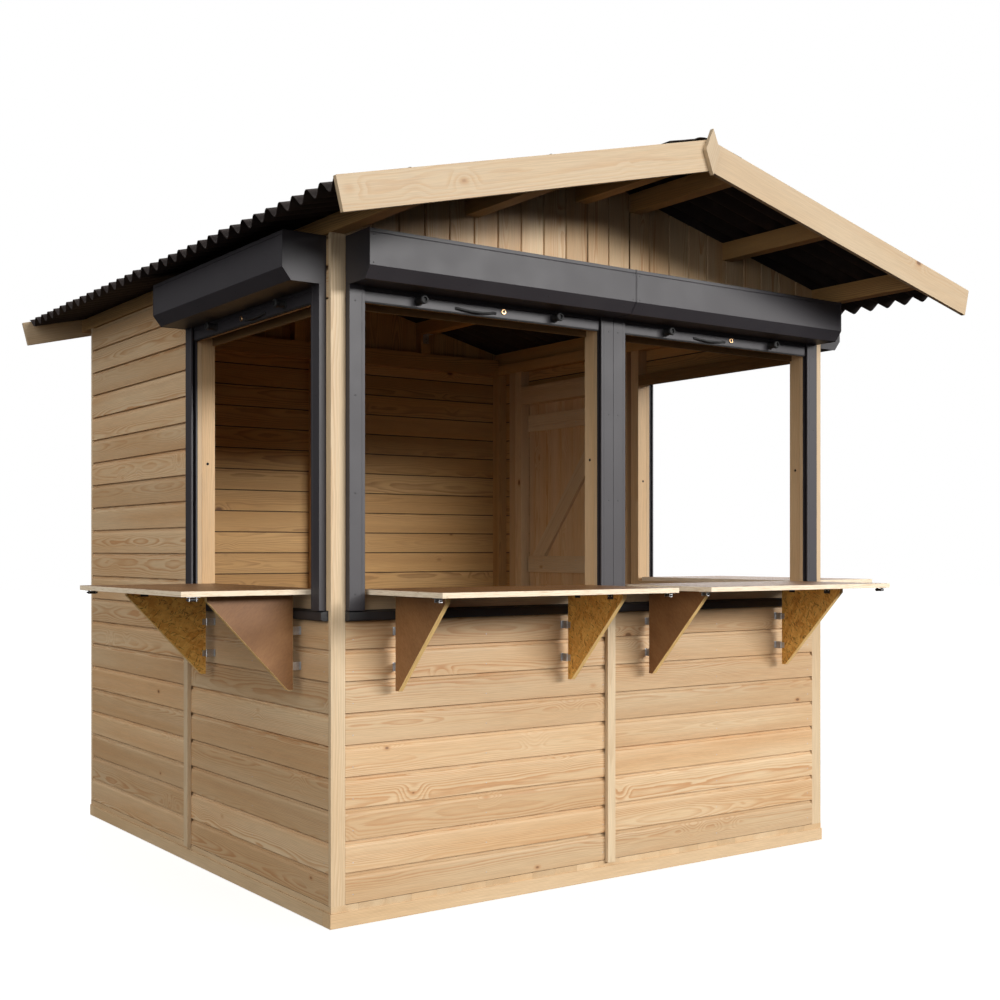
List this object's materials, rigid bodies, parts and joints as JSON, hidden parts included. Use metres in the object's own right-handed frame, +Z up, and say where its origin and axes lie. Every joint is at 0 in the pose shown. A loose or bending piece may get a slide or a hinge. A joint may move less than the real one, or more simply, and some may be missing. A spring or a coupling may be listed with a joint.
{
  "type": "wooden market stall",
  "caption": "Square timber market stall with serving windows on three sides, shutter boxes, fold-in brackets under its counters, a side door and a corrugated gable roof.",
  "frame": {"origin": "on the ground at the centre of the base frame, under the middle floor joist", "axes": "+Z up, -Y towards the front with its two serving windows, +X towards the side with the door"},
  "size_m": [3.484, 3.259, 2.8393],
  "materials": {
    "frame_pine": "planed pale pine",
    "cladding_pine": "planed pale pine boards",
    "floor_pine": "planed pine floor boards",
    "roof_sheet": "black corrugated bitumen sheet",
    "shutter_paint": "anthracite powder coat",
    "dark_metal": "black coated steel",
    "film_board": "brown film-faced board with pale edges",
    "zinc": "zinc-plated steel",
    "rubber": "black rubber",
    "lock_brass": "dull brass"
  },
  "bodies": {
    "stall": {"base_frame": "frame_pine", "floor_joists": "frame_pine", "floor_deck": "floor_pine", "corner_posts": "frame_pine", "wall_studs": "frame_pine", "sole_plates": "frame_pine", "top_plates": "frame_pine", "window_rails": "frame_pine", "window_headers": "frame_pine", "jamb_boards": "frame_pine", "front_cladding": "cladding_pine", "left_cladding": "cladding_pine", "right_cladding": "cladding_pine", "back_cladding": "cladding_pine", "corner_boards": "frame_pine", "joint_strips": "frame_pine", "front_gable": "cladding_pine", "back_gable": "cladding_pine", "gable_studs": "frame_pine", "purlins": "frame_pine", "purlin_brackets": "zinc", "roof_sheet_left": "roof_sheet", "roof_sheet_right": "roof_sheet", "ridge_cap": "roof_sheet", "bargeboards": "frame_pine", "finials": "frame_pine", "window_sills": "dark_metal", "shutter_boxes": "shutter_paint", "shutter_guides": "shutter_paint", "shutter_bars": "dark_metal", "shutter_stops": "rubber", "shutter_handles": "dark_metal", "shutter_locks": "lock_brass", "counters": "film_board", "counter_latches": "dark_metal", "bracket_hinges": "zinc", "door_frame": "frame_pine", "door_hinges": "dark_metal"},
    "door": {"door_leaf": "cladding_pine", "door_ledges": "frame_pine", "door_hardware": "dark_metal"},
    "bracket_front_a": {"bracket_front_a": "film_board"},
    "bracket_front_b": {"bracket_front_b": "film_board"},
    "bracket_front_c": {"bracket_front_c": "film_board"},
    "bracket_front_d": {"bracket_front_d": "film_board"},
    "bracket_left_a": {"bracket_left_a": "film_board"},
    "bracket_left_b": {"bracket_left_b": "film_board"},
    "bracket_right_a": {"bracket_right_a": "film_board"},
    "bracket_right_b": {"bracket_right_b": "film_board"}
  },
  "joints": [
    {"name": "door_hinge", "type": "hinge", "parent": "stall", "child": "door", "pos_m": [1.2515, 0.942, 1.1], "axis": [0, 0, 1], "range_deg": [0, 100]},
    {"name": "bracket_front_a_hinge", "type": "hinge", "parent": "stall", "child": "bracket_front_a", "pos_m": [-0.9925, -1.28, 0.98], "axis": [0, 0, 1], "range_deg": [0, 90]},
    {"name": "bracket_front_b_hinge", "type": "hinge", "parent": "stall", "child": "bracket_front_b", "pos_m": [-0.2375, -1.28, 0.98], "axis": [0, 0, -1], "range_deg": [0, 90]},
    {"name": "bracket_front_c_hinge", "type": "hinge", "parent": "stall", "child": "bracket_front_c", "pos_m": [0.1965, -1.28, 0.98], "axis": [0, 0, 1], "range_deg": [0, 90]},
    {"name": "bracket_front_d_hinge", "type": "hinge", "parent": "stall", "child": "bracket_front_d", "pos_m": [0.9515, -1.28, 0.98], "axis": [0, 0, -1], "range_deg": [0, 90]},
    {"name": "bracket_left_a_hinge", "type": "hinge", "parent": "stall", "child": "bracket_left_a", "pos_m": [-1.28, -1.017, 0.98], "axis": [0, 0, -1], "range_deg": [0, 90]},
    {"name": "bracket_left_b_hinge", "type": "hinge", "parent": "stall", "child": "bracket_left_b", "pos_m": [-1.28, -0.262, 0.98], "axis": [0, 0, 1], "range_deg": [0, 90]},
    {"name": "bracket_right_a_hinge", "type": "hinge", "parent": "stall", "child": "bracket_right_a", "pos_m": [1.28, -1.017, 0.98], "axis": [0, 0, 1], "range_deg": [0, 90]},
    {"name": "bracket_right_b_hinge", "type": "hinge", "parent": "stall", "child": "bracket_right_b", "pos_m": [1.28, -0.262, 0.98], "axis": [0, 0, -1], "range_deg": [0, 90]}
  ]
}
